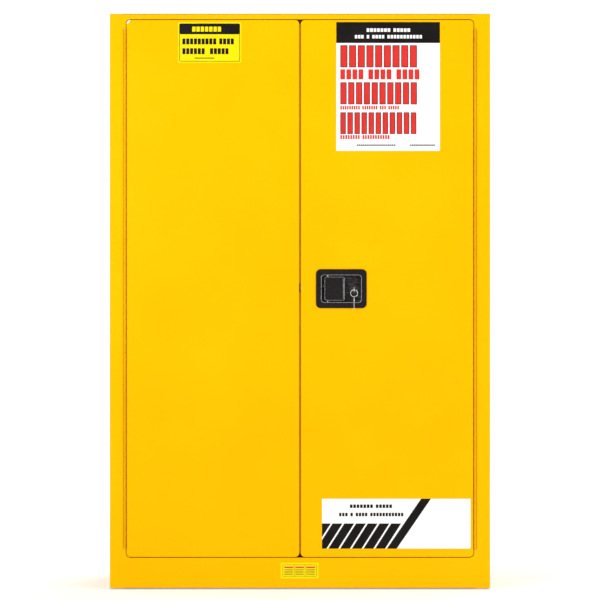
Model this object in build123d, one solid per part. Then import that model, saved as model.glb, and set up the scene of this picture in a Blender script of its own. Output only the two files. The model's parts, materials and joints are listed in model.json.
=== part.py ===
"""Two-door flammable storage cabinet: double-walled sheet steel, continuous hinges, three-point latch.

Millimetres. +Z is up and the doors face -Y. The origin is on the floor, under the middle of the body.
"Left" and "right" are as seen from the front. Pieces that fit each other share the values below.
"""
import os
from math import cos, radians, sin

from build123d import *

# ---- body ----
width = 1090.0
depth = 460.0
height = 1650.0
sheet = 1.2                  # outer and inner steel sheet
wall = 42.0                  # outer face to inner face of the double wall
bend = 2.5                   # outer radius of a fold
skirt_gap = 4.0              # floor to the skirt's lower edge
rear_fold = 20.0             # side panel's fold behind the back panel
base_height = 30.0           # floor to the underside of the base panel

# ---- front frame ----
stile_width = 39.2
header_height = 16.0         # strip over the doors
sill_height = 91.2           # floor to the top of the sill
side_stop_reach = 26.8       # how far the stop reaches inwards past the stile
header_stop_drop = 34.0
sill_stop_rise = 15.8
inner_lap = 30.0             # header's and sill's hidden flanges

# ---- doors ----
door_gap = 1.2               # round the pair of doors
centre_gap = 4.5             # between the doors
door_corner = 12.0
door_edge_depth = 20.0       # depth of the outer skin's edge
door_depth = 42.0
stop_gap = 2.0               # back of the door to the face that it closes against
door_lip = 10.0              # skin's turned-in rim
pan_inset = 6.0              # inner pan stands in from the door's outline

# ---- continuous hinges ----
barrel_r = 3.5
barrel_gap = 0.3             # barrel to the frame's edge and to the door's edge
hinge_bore_r = 2.3
hinge_pin_r = 2.22
leaf = 1.5
leaf_depth = 19.0
knuckle = 12.5               # length of one knuckle
knuckle_gap = 0.4
notch_clearance = 0.6
axis_proud = 0.5             # hinge axis stands in front of the front face
pin_head_r = 2.9
pin_head = 0.8
corner_gap = 1.6             # end of the hinge to the frame's corner
hinge_top_drop = 25.0        # door's top edge to the end of the hinge
hinge_bottom_rise = 25.0

# ---- latch tray and paddle ----
latch_x = 118.4
latch_z = 862.0
bezel_width = 145.0
bezel_height = 111.5
bezel_corner = 13.0
bezel_thick = 2.5
tray_width = 115.0
tray_height = 79.0
tray_depth = 19.0            # door face to the tray floor
tray_sheet = 1.5
tray_corner = 8.0
cutout_clearance = 0.6
paddle_width = 60.6
paddle_height = 69.0
paddle_plate = 2.5
paddle_corner = 6.0
paddle_sink = 1.5            # paddle's face behind the bezel's face
paddle_fold_r = 3.5
paddle_left_fold = 5.0
paddle_lip = 9.0             # depth of the edge that the fingers pull
paddle_pin_inset = 9.3       # paddle's left edge to its pin
paddle_edge_gap = 8.9        # tray's left wall to the paddle
paddle_pin_r = 2.0
paddle_pin_back = 5.0        # door face to the pin's axis
pin_clearance = 0.1
paddle_barrel_r = 4.2
paddle_knuckle = 12.0
lever_barrel_r = 3.4
lever_height = 16.0
lever_plate = 2.5
lever_tail = 29.0            # pin axis to the end that pushes the cam
lever_tail_deg = 24.7        # tail's lean at rest
catch_x = 103.5
catch_reach = 8.5
window_clearance = 3.0
spring_wire_r = 0.5
spring_coil_r = 2.75
spring_pitch = 1.2
spring_turns = 9

# ---- latch works behind the tray ----
back_plate = 2.0
works_depth = 30.8           # door face to the front of the latch cam
cam_plate = 3.0
cam_x = 84.0
cam_z = 894.0
cam_arm = 30.0               # pivot to each rod pin
cam_half_swing_deg = 14.0
cam_bar = 12.0
cam_tail = 38.0              # pivot to the centre of the pushed arm's end
cam_hub_r = 11.0
cam_pivot_r = 5.0
cam_boss_r = 8.0
rod_pin_r = 3.0
slot_play = 0.2
works_gap = 0.5
eye_plate = 3.0
eye_half = 9.0
eye_length = 34.0            # pin to the start of the round rod
rod_r = 4.0
bolt_height = 16.0
bolt_drawn_x = 1.0           # centre bolt's tip when drawn
rod_tip_gap = 2.0            # drawn rod tip to the frame
guide_clearance = 0.3
guide_width = 20.0
guide_length = 24.0
guide_front = 8.0            # rod's axis to the front of its guide
upper_guide_up = 156.0       # cam's pivot to the inner guide of the top rod
lower_guide_down = 194.0     # cam's pivot to the inner guide of the bottom rod
top_guide_drop = 152.8       # door's top edge to the outer guide
bottom_guide_rise = 157.6    # door's bottom edge to the outer guide
strike_thick = 2.0
cover_thick = 1.5

# ---- lock and keys ----
lock_x = 154.8
lock_z = 860.0
lock_barrel_r = 11.0
lock_collar_r = 13.5
lock_collar = 2.0
plug_r = 7.0
lock_face = 8.0              # door face to the lock's face
plug_clearance = 0.08
nut_thick = 3.0
nut_flats_r = 15.0
tongue_length = 46.0
tongue_width = 10.0
tongue_thick = 2.0
tongue_gap = 0.2
drive_square = 7.0
key_thick = 2.2
key_blade = 7.0
key_insert = 14.0
key_neck = 7.0
bow_r = 8.5
bow_hole_r = 2.2
bow_hole_offset = 4.0        # bow's centre to its hole
spare_blade = 24.0
ring_r = 10.0
ring_wire_r = 0.9
ring_play = 0.15

# ---- shelves ----
standard_width = 30.0
standard_depth = 12.0
standard_sheet = 1.5
standard_y = 130.0           # middle of each upright, in front of and behind the centre
standard_bottom = 130.0
standard_top_drop = 60.0     # top of the cabinet to the uprights' top
slot_pitch = 60.0
slot_height = 14.0
slot_width = 4.0
clip_thick = 2.0
clip_width = 24.0
clip_ledge = 24.0
shelf_end_gap = 4.0          # shelf's end to the face of the uprights
shelf_depth = 345.0
shelf_back_gap = 8.0
shelf_height = 30.0
shelf_tray = 8.0
shelf_hem = 12.0
lower_shelf_slot = 7         # slot number, from the bottom, that carries each shelf
upper_shelf_slot = 15

# ---- sump ----
sump_depth = 50.0
stiffener_width = 60.0
stiffener_spacing = 300.0

# ---- vents, ground and feet ----
vent_bore_r = 27.0
vent_tube = 3.2
vent_flange_r = 36.0
vent_flange = 2.0
vent_seat_r = 29.0
vent_seat = 2.5
vent_lip_r = 24.0
vent_clearance = 0.3
vent_y = 60.0
left_vent_z = 180.0
right_vent_drop = 110.0      # top of the cabinet to the vent's centre
cap_proud = 0.8
cap_body = 12.0
cap_square = 19.0
mesh_thick = 1.5
mesh_hole_r = 1.8
mesh_pitch = 5.6
ground_x = 470.0
ground_z = 60.0
ground_bolt_r = 4.0
ground_bolt_out = 16.0       # back of the body to the bolt's end
ground_head = 5.6
ground_nut = 5.0
ground_washer_r = 9.0
ground_washer = 1.6
foot_inset_x = 60.0
foot_inset_y = 60.0
foot_pad_r = 20.0
foot_pad = 8.0
foot_hex = 6.0
foot_stud_r = 5.0
foot_stud_top = 50.0
foot_bore_clearance = 0.08
bracket_size = 60.0
bracket_thick = 3.0
bracket_nut = 8.0
hex_17_r = 9.8
hex_13_r = 7.5

# ---- places worked out from the sizes ----
half_width = width / 2
front = -depth / 2
back = depth / 2
top_under = height - sheet
opening_top = height - header_height
stile_edge = half_width - stile_width
stop_face = front + door_depth + stop_gap
lap_face = stop_face + sheet
inner_front = lap_face + sheet
liner_x = half_width - wall
liner_back = back - wall
liner_top = height - wall + 2.0
standard_top = height - standard_top_drop
shelf_half_width = liner_x - standard_depth - shelf_end_gap
right_vent_z = height - right_vent_drop
sump_top = sill_height + sill_stop_rise
sump_floor = sump_top - sump_depth

leaf_offset = barrel_r + barrel_gap
hinge_x = stile_edge - leaf_offset
hinge_y = front - axis_proud
door_out = hinge_x - leaf_offset
door_in = centre_gap / 2
door_bottom = sill_height + door_gap
door_top = opening_top - door_gap
door_back = front + door_depth
edge_back = front + door_edge_depth
pan_out = door_out - pan_inset
pan_in = door_in + pan_inset
pan_bottom = door_bottom + pan_inset
pan_top = door_top - pan_inset
pan_inner_face = door_back - sheet
hinge_bottom = door_bottom + hinge_bottom_rise
knuckle_count = int((door_top - hinge_top_drop - hinge_bottom) / knuckle)
hinge_top = hinge_bottom + knuckle_count * knuckle

tray_floor = front + tray_depth
tray_left = latch_x - tray_width / 2
tray_low = latch_z - tray_height / 2
tray_high = latch_z + tray_height / 2
plate_face = tray_floor + tray_sheet
nut_face = plate_face + back_plate
works_front = front + works_depth
works_back = works_front + cam_plate
eye_front = works_back + works_gap
rod_y = eye_front + eye_plate / 2
swing = radians(cam_half_swing_deg)
throw = 2 * cam_arm * sin(swing)
pin_drift = cam_arm * (1 - cos(swing)) / 2
pin_side = cam_arm - pin_drift
top_rod_x = cam_x - pin_side
top_pin_z = cam_z - throw / 2
bottom_rod_x = cam_x + pin_side
bottom_pin_z = cam_z + throw / 2
bolt_z = cam_z - pin_side
bolt_pin_x = cam_x + throw / 2
paddle_left = tray_left + paddle_edge_gap
paddle_right = paddle_left + paddle_width
paddle_low = latch_z - paddle_height / 2
paddle_high = latch_z + paddle_height / 2
paddle_x = paddle_left + paddle_pin_inset
paddle_y = front + paddle_pin_back
paddle_face = front - bezel_thick + paddle_sink
lever_low = lock_z - lever_height / 2
lever_high = lock_z + lever_height / 2
lock_front = front + lock_face
tongue_face = nut_face + nut_thick + tongue_gap
bow_y = lock_front - key_neck - bow_r
ring_y = bow_y - bow_hole_offset
ring_top_z = lock_z - (bow_hole_r - ring_wire_r - ring_play)
ring_low_z = ring_top_z - 2 * ring_r
spare_hole_z = ring_low_z - (bow_hole_r - ring_wire_r - ring_play)


def block(x0, x1, y0, y1, z0, z1):
    """A box between two corners."""
    return Pos((x0 + x1) / 2, (y0 + y1) / 2, (z0 + z1) / 2) * Box(x1 - x0, y1 - y0, z1 - z0)


def rod(radius, start, end):
    """A cylinder between two points that differ along one axis."""
    a, b = Vector(*start), Vector(*end)
    return extrude(Plane(a, z_dir=b - a) * Circle(radius), amount=(b - a).length)


def folded(points, side, radius=bend, thick=sheet):
    """The section of a folded sheet: points run along one face, and side is where the metal lies."""
    line = FilletPolyline(*points, radius=radius)
    return make_face(line.wire().offset_2d(thick, side=side, closed=True))


def along_z(section, low, high):
    return extrude(Plane.XY.offset(low) * section, amount=high - low)


def along_x(section, low, high):
    """Section drawn as (y, z)."""
    plane = Plane(origin=(low, 0, 0), x_dir=(0, 1, 0), z_dir=(1, 0, 0))
    return extrude(plane * section, amount=high - low)


def slab(x0, x1, z0, z1, corner, y0, y1):
    """An upright slab with rounded corners, between two depths."""
    plane = Plane(origin=((x0 + x1) / 2, y1, (z0 + z1) / 2), x_dir=(1, 0, 0), z_dir=(0, -1, 0))
    return extrude(plane * RectangleRounded(x1 - x0, z1 - z0, corner), amount=y1 - y0)


def mirrored(shape):
    return mirror(shape, Plane.YZ)


def save(name, *shapes):
    """Writes one node as one or more closed solids."""
    solids = [s for shape in shapes for s in shape.solids()]
    export_step(solids[0] if len(solids) == 1 else Compound(children=solids), f"parts/{name}.step")


def upright(section, x, z, y0, y1):
    """A section drawn as (x, z) from a centre, extruded between two depths."""
    plane = Plane(origin=(x, y1, z), x_dir=(1, 0, 0), z_dir=(0, -1, 0))
    return extrude(plane * section, amount=y1 - y0)


# ---------------------------------------------------------------- body panels
def side_panel(vent_z):
    """Left side, with the stile at the front and a fold behind the back panel."""
    points = [(-half_width + rear_fold, back), (-half_width, back),
              (-half_width, front), (-stile_edge, front)]
    return along_z(folded(points, Side.LEFT), skirt_gap, top_under) - vent_hole(vent_z)


def door_jamb():
    """Left jamb: the return behind the stile, then the stop that the door closes against."""
    reach = -stile_edge + side_stop_reach
    points = [(-stile_edge, front + sheet), (-stile_edge, stop_face), (reach, stop_face)]
    jamb = along_z(folded(points, Side.LEFT, radius=bend - sheet), sill_height, opening_top)
    ends = [block(-half_width, reach + 1, stop_face - bend, lap_face + 1, a, b)
            for a, b in ((sill_height - 1, sill_height + bend), (opening_top - bend, opening_top + 1))]
    return jamb - ends


def frame_corners(z0, z1):
    """Ears that close the door opening's corners round the doors' rounded corners."""
    inner, edge = door_out - door_corner, door_out + door_gap
    doors = slab(-edge, edge, sill_height, opening_top, door_corner + door_gap, front - 1, front + sheet + 1)
    return [block(a, b, front, front + sheet, z0, z1) - doors
            for a, b in ((-stile_edge, -inner), (inner, stile_edge))]


def frame_rail(points, side, ears):
    """Header or sill: a folded strip, its corner ears, and a stop flange between the liner panels."""
    rail = along_x(folded(points, side, radius=bend - sheet / 2), -stile_edge, stile_edge)
    for ear in frame_corners(*ears):
        rail += ear
    return rail - [block(a, b, lap_face, inner_front + 1, 0, height)
                   for a, b in ((-stile_edge - 1, -liner_x), (liner_x, stile_edge + 1))]


def front_header():
    points = [(front + inner_lap, top_under), (front, top_under), (front, opening_top),
              (lap_face, opening_top), (lap_face, opening_top - header_stop_drop)]
    header = frame_rail(points, Side.LEFT, (hinge_top + corner_gap, opening_top + bend))
    return header - rod(rod_r + 1, (top_rod_x, rod_y, opening_top - 1),
                        (top_rod_x, rod_y, opening_top + sheet + 1))


def front_sill():
    points = [(front + inner_lap, skirt_gap), (front, skirt_gap), (front, sill_height),
              (lap_face, sill_height), (lap_face, sump_top)]
    sill = frame_rail(points, Side.RIGHT, (sill_height - bend, hinge_bottom - corner_gap))
    return sill - rod(rod_r + 1, (bottom_rod_x, rod_y, sill_height - sheet - 1),
                      (bottom_rod_x, rod_y, sill_height + 1))


def frame_strikes():
    """Plates inside the header and the sill that take the ends of the latch rods."""
    plates = []
    for x, z in ((top_rod_x, opening_top + sheet), (bottom_rod_x, sill_height - sheet - strike_thick)):
        plate = block(x - 20, x + 20, rod_y - 16, rod_y + 5.5, z, z + strike_thick)
        plates.append(plate - rod(rod_r + 0.8, (x, rod_y, z - 1), (x, rod_y, z + strike_thick + 1)))
    return plates


def top_panel():
    """Flat lid with a softened edge, and a flange inside the back panel."""
    lid = block(-half_width, half_width, front, back, top_under, height)
    lid = fillet(lid.faces().sort_by(Axis.Z)[-1].edges(), sheet * 0.6)
    inner = back - 3 * sheet
    return lid + block(-liner_x, liner_x, inner, inner + sheet, top_under - inner_lap, top_under)


def back_panel():
    """Flat back, inside the side panels' folds."""
    panel = block(-half_width + bend, half_width - bend, back - 2 * sheet, back - sheet, skirt_gap, top_under)
    return panel - rod(ground_bolt_r + 0.2, (ground_x, back - 10, ground_z), (ground_x, back + 1, ground_z))


def base_panel():
    panel = block(-half_width + sheet, half_width - sheet, front + sheet + bend, back - bend,
                  base_height, base_height + sheet)
    return panel - [rod(foot_stud_r + 1, (x, y, base_height - 1), (x, y, base_height + sheet + 1))
                    for x, y in foot_places()]


def side_liner(vent_z):
    """Left inner wall, with the hole for the vent."""
    panel = block(-liner_x - sheet, -liner_x, lap_face, liner_back, base_height + sheet, liner_top)
    return panel - vent_hole(vent_z)


def back_liner():
    return block(-liner_x - sheet, liner_x + sheet, liner_back, liner_back + sheet,
                 base_height + sheet, liner_top)


def ceiling_liner():
    return block(-liner_x, liner_x, inner_front, liner_back, liner_top - sheet, liner_top)


def sump_pan():
    """Leak-proof tray in the bottom of the cabinet."""
    pan = block(-liner_x, liner_x, inner_front, liner_back, sump_floor, sump_top)
    pan = fillet(pan.edges().filter_by(Axis.Z) + pan.faces().sort_by(Axis.Z)[0].edges(), bend)
    pocket = block(-liner_x + sheet, liner_x - sheet, inner_front + sheet, liner_back - sheet,
                   sump_floor + sheet, sump_top + 1)
    corner_edges = pocket.edges().filter_by(Axis.Z) + pocket.faces().sort_by(Axis.Z)[0].edges()
    return pan - fillet(corner_edges, bend - sheet)


def base_stiffeners():
    """Top-hat bearers between the base panel and the sump."""
    low, high, thick, half = base_height + sheet, sump_floor, 2.0, stiffener_width / 2
    bars = []
    for x in (-stiffener_spacing, 0, stiffener_spacing):
        bar = block(x - half, x + half, front + 60, back - 60, low, high)
        bars.append(bar - block(x - half + thick, x + half - thick, front + 59, back - 59,
                                low - 1, high - thick))
    return bars


# ---------------------------------------------------------------- vents, ground and feet
def vent_hole(z):
    radius = vent_bore_r + vent_tube + vent_clearance
    return rod(radius, (-half_width - 5, vent_y, z), (-liner_x + 5, vent_y, z))


def ring(outer, inner, x0, x1, z):
    """A flat ring round a vent's axis, on the left side."""
    return (rod(outer, (x0, vent_y, z), (x1, vent_y, z))
            - rod(inner, (x0 - 1, vent_y, z), (x1 + 1, vent_y, z)))


def vent_socket(z):
    """Left vent: a tube through both walls, with a seat for the cap and a lip for the flame arrester."""
    face = -half_width
    inner = -liner_x + vent_flange
    outer_r = vent_bore_r + vent_tube
    tube = ring(outer_r, vent_bore_r, face, inner, z)
    tube += ring(vent_flange_r, outer_r - 1, face + sheet, face + sheet + vent_flange, z)
    tube += ring(vent_flange_r, vent_lip_r, -liner_x, inner, z)
    return tube - rod(vent_seat_r, (face - 1, vent_y, z), (face + vent_seat, vent_y, z))


def flame_arrester(z):
    """Perforated disc against the socket's lip, on the left side."""
    x0, x1 = -liner_x - mesh_thick, -liner_x
    radius = vent_bore_r - 0.2
    holes = []
    count = int(radius / mesh_pitch) + 1
    for i in range(-count, count + 1):
        for j in range(-count, count + 1):
            y, up = (i + j / 2) * mesh_pitch, j * mesh_pitch * 0.866
            if (y * y + up * up) ** 0.5 < vent_lip_r - mesh_hole_r:
                holes.append(rod(mesh_hole_r, (x0 - 1, vent_y + y, z + up), (x1 + 1, vent_y + y, z + up)))
    return rod(radius, (x0, vent_y, z), (x1, vent_y, z)) - holes


def vent_cap(z):
    """Flush screw-in cap with a square drive, on the left side."""
    seat = -half_width + vent_seat
    cap = rod(vent_seat_r - vent_clearance, (-half_width - cap_proud, vent_y, z), (seat, vent_y, z))
    cap = chamfer(cap.faces().sort_by(Axis.X)[0].edges(), 0.5)
    cap += rod(vent_bore_r - vent_clearance, (seat, vent_y, z), (seat + cap_body, vent_y, z))
    half = cap_square / 2
    return cap - block(-half_width - 5, seat + cap_body - 3, vent_y - half, vent_y + half, z - half, z + half)


def ground_terminal():
    """Grounding bolt through the back panel, clamped by its head inside and a washer and nut outside."""
    inner, outer = back - 2 * sheet, back - sheet
    bolt = rod(ground_bolt_r, (ground_x, inner, ground_z), (ground_x, back + ground_bolt_out, ground_z))
    bolt = chamfer(bolt.faces().sort_by(Axis.Y)[-1].edges(), 0.8)
    bolt += upright(RegularPolygon(hex_13_r, 6), ground_x, ground_z, inner - ground_head, inner)
    bolt += upright(Circle(ground_washer_r), ground_x, ground_z, outer, outer + ground_washer)
    nut_low = outer + ground_washer
    return bolt + upright(RegularPolygon(hex_13_r, 6), ground_x, ground_z, nut_low, nut_low + ground_nut)


def foot_places():
    x, y = half_width - foot_inset_x, depth / 2 - foot_inset_y
    return [(-x, -y), (x, -y), (-x, y), (x, y)]


def foot_bracket(x, y):
    """Plate and welded nut under the base, which carry one foot."""
    half = bracket_size / 2
    low = base_height - bracket_thick
    bracket = block(x - half, x + half, y - half, y + half, low, base_height)
    bracket += extrude(Plane.XY.offset(low - bracket_nut) * Pos(x, y) * RegularPolygon(hex_17_r, 6),
                       amount=bracket_nut)
    return bracket - rod(foot_stud_r + foot_bore_clearance, (x, y, 0), (x, y, base_height + 1))


def foot(x, y):
    """Levelling foot: a pad, a hexagon for the spanner, and a threaded stud."""
    pad = rod(foot_pad_r, (x, y, 0), (x, y, foot_pad))
    pad = fillet(pad.faces().sort_by(Axis.Z)[-1].edges(), 2.5)
    pad = chamfer(pad.faces().sort_by(Axis.Z)[0].edges(), 0.6)
    pad += extrude(Plane.XY.offset(foot_pad) * Pos(x, y) * RegularPolygon(hex_17_r, 6), amount=foot_hex)
    stud = rod(foot_stud_r, (x, y, foot_pad), (x, y, foot_stud_top))
    return pad + chamfer(stud.faces().sort_by(Axis.Z)[-1].edges(), 1.0)


# ---------------------------------------------------------------- shelves
def standard_places():
    return [(side, y) for side in (-1, 1) for y in (-standard_y, standard_y)]


def slot_bottom(number):
    return standard_bottom + 30 + number * slot_pitch


def shelf_standard(side, y):
    """Slotted upright channel on a side wall."""
    low, high = standard_bottom, standard_top
    half = standard_width / 2
    bar = block(-liner_x, -liner_x + standard_depth, y - half, y + half, low, high)
    bar -= block(-liner_x - 1, -liner_x + standard_depth - standard_sheet,
                 y - half + standard_sheet, y + half - standard_sheet, low - 1, high + 1)
    slots = []
    number = 0
    while slot_bottom(number) + slot_height < high - 20:
        z = slot_bottom(number)
        slots.append(block(-liner_x + standard_depth - standard_sheet - 1, -liner_x + standard_depth + 1,
                           y - slot_width / 2, y + slot_width / 2, z, z + slot_height))
        number += 1
    bar = bar - slots
    return bar if side < 0 else mirrored(bar)


def shelf_clip(side, y, number):
    """Hooks into one slot, and carries a corner of a shelf on its ledge."""
    face = -liner_x + standard_depth
    z = slot_bottom(number) + 0.5
    half, tongue = clip_width / 2, slot_width / 2 - 0.4
    clip = block(face, face + clip_thick, y - half, y + half, z, z + slot_height + 6)
    clip += block(face, face + clip_ledge, y - half, y + half, z, z + clip_thick)
    clip += block(face - standard_sheet - 2.5, face, y - tongue, y + tongue, z, z + slot_height - 3)
    clip += block(face - standard_sheet - 2.5, face - standard_sheet - 0.3, y - tongue, y + tongue,
                  z - 6, z + slot_height - 3)
    return clip if side < 0 else mirrored(clip)


def shelf(number):
    """Galvanised shelf: a shallow spill tray with folded edges."""
    low = slot_bottom(number) + 0.5 + clip_thick
    high = low + shelf_height
    y1 = liner_back - shelf_back_gap
    y0 = y1 - shelf_depth
    w, t, hem = shelf_half_width, sheet, shelf_hem
    tray = block(-w, w, y0, y1, low, high)
    tray = fillet(tray.edges().filter_by(Axis.Z), bend)
    web = high - shelf_tray
    upper = block(-w + t, w - t, y0 + t, y1 - t, web, high + 1)
    tray -= fillet(upper.faces().sort_by(Axis.Z)[0].edges(), bend - t)
    tray -= block(-w + t, w - t, y0 + t, y1 - t, low + t, web - t)
    return tray - block(-w + hem, w - hem, y0 + hem, y1 - hem, low - 1, low + t + 1)


# ---------------------------------------------------------------- hinges
def hinge_leaf(side, first):
    """One leaf of the left-hand hinge: side -1 is the frame's leaf and 1 is the door's."""
    flat = side * (leaf_offset - leaf / 2)
    own = Pos(-hinge_x, hinge_y) * Circle(barrel_r)
    own += Pos(-hinge_x + flat, hinge_y + leaf_depth / 2) * Rectangle(leaf, leaf_depth)
    own -= Pos(-hinge_x, hinge_y) * Circle(hinge_bore_r)
    reach = leaf_offset + notch_clearance
    half_gap = knuckle_gap / 2
    cuts = [block(-hinge_x - reach, -hinge_x + reach, hinge_y - reach, hinge_y + reach,
                  hinge_bottom + i * knuckle - half_gap, hinge_bottom + (i + 1) * knuckle + half_gap)
            for i in range(1 - first, knuckle_count, 2)]
    return along_z(own, hinge_bottom, hinge_top) - cuts


def hinge_pin():
    """Left hinge's pin, with a peened head at each end."""
    pin = rod(hinge_pin_r, (-hinge_x, hinge_y, hinge_bottom), (-hinge_x, hinge_y, hinge_top))
    for z in (hinge_bottom - pin_head, hinge_top):
        pin += rod(pin_head_r, (-hinge_x, hinge_y, z), (-hinge_x, hinge_y, z + pin_head))
    return pin


# ---------------------------------------------------------------- doors
def door_skin():
    """Left door's outer skin: a shallow pan with a turned-in rim."""
    x0, x1 = -door_out, -door_in
    t, r = sheet, door_lip
    skin = slab(x0, x1, door_bottom, door_top, door_corner, front, edge_back)
    skin = fillet(skin.faces().sort_by(Axis.Y)[0].edges(), bend)
    skin -= slab(x0 + t, x1 - t, door_bottom + t, door_top - t, door_corner - t,
                 front + t, edge_back - t)
    return skin - slab(x0 + r, x1 - r, door_bottom + r, door_top - r, door_corner - r,
                       front + t, edge_back + 1)


def right_door_skin():
    w = tray_width / 2 + tray_sheet + cutout_clearance
    h = tray_height / 2 + tray_sheet + cutout_clearance
    cutout = slab(latch_x - w, latch_x + w, latch_z - h, latch_z + h, tray_corner + tray_sheet,
                  front - 1, front + 3)
    return mirrored(door_skin()) - cutout


def door_inner_pan():
    """Left door's inner pan, closing the air gap."""
    t, corner = sheet, door_corner - pan_inset
    pan = slab(-pan_out, -pan_in, pan_bottom, pan_top, corner, edge_back, door_back)
    pan = fillet(pan.faces().sort_by(Axis.Y)[-1].edges(), bend)
    return pan - slab(-pan_out + t, -pan_in - t, pan_bottom + t, pan_top - t, corner - t,
                      edge_back - 1, door_back - t)


def bolt_opening(x, play):
    """Hole for the centre bolt through a pan's side wall."""
    half_y, half_z = eye_plate / 2 + play, bolt_height / 2 + play
    return block(x - 5, x + 5, rod_y - half_y, rod_y + half_y, bolt_z - half_z, bolt_z + half_z)


def left_door_inner_pan():
    return door_inner_pan() - bolt_opening(-pan_in, 0.8)


def cover_outline(inset):
    return (tray_left - 22 + inset, tray_left + tray_width + 14 - inset,
            tray_low - 12 + inset, cam_z + 36 - inset)


def right_door_inner_pan():
    pan = mirrored(door_inner_pan()) - bolt_opening(pan_in, guide_clearance)
    hole = rod_r + guide_clearance
    pan -= rod(hole, (top_rod_x, rod_y, pan_top - 5), (top_rod_x, rod_y, pan_top + 5))
    pan -= rod(hole, (bottom_rod_x, rod_y, pan_bottom - 5), (bottom_rod_x, rod_y, pan_bottom + 5))
    x0, x1, z0, z1 = cover_outline(14)
    return pan - slab(x0, x1, z0, z1, 6, door_back - 3, door_back + 1)


def access_cover():
    x0, x1, z0, z1 = cover_outline(0)
    cover = slab(x0, x1, z0, z1, 8, door_back, door_back + cover_thick)
    return chamfer(cover.faces().sort_by(Axis.Y)[-1].edges(), 0.5)


def cover_screws():
    x0, x1, z0, z1 = cover_outline(7)
    screws = []
    for x in (x0, x1):
        for z in (z0, z1):
            face = door_back + cover_thick
            head = rod(4.0, (x, face, z), (x, face + 1.8, z))
            head = fillet(head.faces().sort_by(Axis.Y)[-1].edges(), 0.8)
            screws.append(head - block(x - 3, x + 3, face + 1.0, face + 3, z - 0.5, z + 0.5))
    return screws


def astragal():
    """Strip on the left door's edge that closes the view through the gap between the doors."""
    y = front + 4.0
    points = [(-door_in + centre_gap * 0.72, y), (-door_in, y), (-door_in, edge_back)]
    strip = along_z(folded(points, Side.RIGHT, radius=0.2, thick=0.8),
                    door_bottom + door_corner, door_top - door_corner)
    return strip - block(-door_in - 1, door_in, front, edge_back + 1, bolt_z - 12, bolt_z + 12)


def left_strike():
    """Strike on the left door's edge for the centre bolt."""
    y0, y1 = edge_back + 2, door_back - bend
    plate = block(-pan_in, -pan_in + 1.5, y0, y1, bolt_z - 25, bolt_z + 25)
    plate = fillet(plate.edges().filter_by(Axis.X), 3)
    return plate - bolt_opening(-pan_in, 0.6)


# ---------------------------------------------------------------- latch tray and paddle
def latch_window():
    """Where the paddle's lever passes through the tray floor and the back plate."""
    return block(tray_left + 6, catch_x + 18, tray_floor - 1, nut_face + 1,
                 lever_low - window_clearance, lever_high + window_clearance)


def latch_tray():
    """Bezel and recessed tray, with the paddle's pin holes, the lever's window and the lock's hole."""
    w, h = tray_width / 2, tray_height / 2
    bezel = slab(latch_x - bezel_width / 2, latch_x + bezel_width / 2, latch_z - bezel_height / 2,
                 latch_z + bezel_height / 2, bezel_corner, front - bezel_thick, front)
    bezel = fillet(bezel.faces().sort_by(Axis.Y)[0].edges(), 1.6)
    t = tray_sheet
    tray = bezel + slab(latch_x - w - t, latch_x + w + t, latch_z - h - t, latch_z + h + t,
                        tray_corner + t, front - 1, plate_face)
    recess = slab(latch_x - w, latch_x + w, latch_z - h, latch_z + h, tray_corner, front - 5, tray_floor)
    tray -= fillet(recess.faces().sort_by(Axis.Y)[-1].edges(), 2.5)
    rim = tray.faces().filter_by(Axis.Y).sort_by(Axis.Y)[0].inner_wires()[0].edges()
    tray = fillet(rim, 0.8)
    tray -= latch_window()
    tray -= rod(paddle_pin_r + pin_clearance, (paddle_x, paddle_y, tray_low - 5),
                (paddle_x, paddle_y, tray_high + 5))
    return tray - rod(lock_barrel_r + 0.15, (lock_x, tray_floor - 1, lock_z),
                      (lock_x, plate_face + 1, lock_z))


def paddle_pin():
    """Hinge pin across the tray, headed outside each wall."""
    low, high = tray_low - tray_sheet, tray_high + tray_sheet
    pin = rod(paddle_pin_r, (paddle_x, paddle_y, low - 1), (paddle_x, paddle_y, high + 1))
    for z in (low - 1, high):
        pin += rod(3.2, (paddle_x, paddle_y, z), (paddle_x, paddle_y, z + 1))
    return pin


def latch_paddle():
    """Pull plate with folded edges and two knuckles on the pin."""
    x0, x1, y = paddle_left, paddle_right, paddle_face
    points = [(x0, y + paddle_left_fold), (x0, y), (x1, y), (x1, y + paddle_lip)]
    section = folded(points, Side.LEFT, radius=paddle_fold_r, thick=paddle_plate)
    plate = along_z(section, paddle_low, paddle_high)
    plate &= slab(x0, x1, paddle_low, paddle_high, paddle_corner, y - 1, y + paddle_lip + 1)
    for z in (paddle_low + 1.5, paddle_high - 1.5 - paddle_knuckle):
        plate += rod(paddle_barrel_r, (paddle_x, paddle_y, z), (paddle_x, paddle_y, z + paddle_knuckle))
    return plate - rod(paddle_pin_r + pin_clearance, (paddle_x, paddle_y, paddle_low - 1),
                       (paddle_x, paddle_y, paddle_high + 1))


def paddle_lever():
    """Steel lever behind the paddle: a tail that pushes the cam, and a catch that the lock's tongue holds."""
    t = lever_plate
    rear = paddle_face + paddle_plate
    catch_back = works_front - 0.3
    section = Pos(paddle_x, paddle_y) * Circle(lever_barrel_r)
    section += (Pos(paddle_x, paddle_y) * Rot(0, 0, lever_tail_deg) * Pos(0, lever_tail / 2)
                * Rectangle(t, lever_tail))
    section += Pos((paddle_x + catch_x + t) / 2, rear + 1) * Rectangle(catch_x + t - paddle_x, 2)
    section += Pos(catch_x + t / 2, (rear + catch_back) / 2) * Rectangle(t, catch_back - rear)
    section += Pos(catch_x + catch_reach / 2, catch_back - 1) * Rectangle(catch_reach, 2)
    section -= Pos(paddle_x, paddle_y) * Circle(paddle_pin_r + pin_clearance)
    return along_z(section, lever_low, lever_high)


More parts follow.
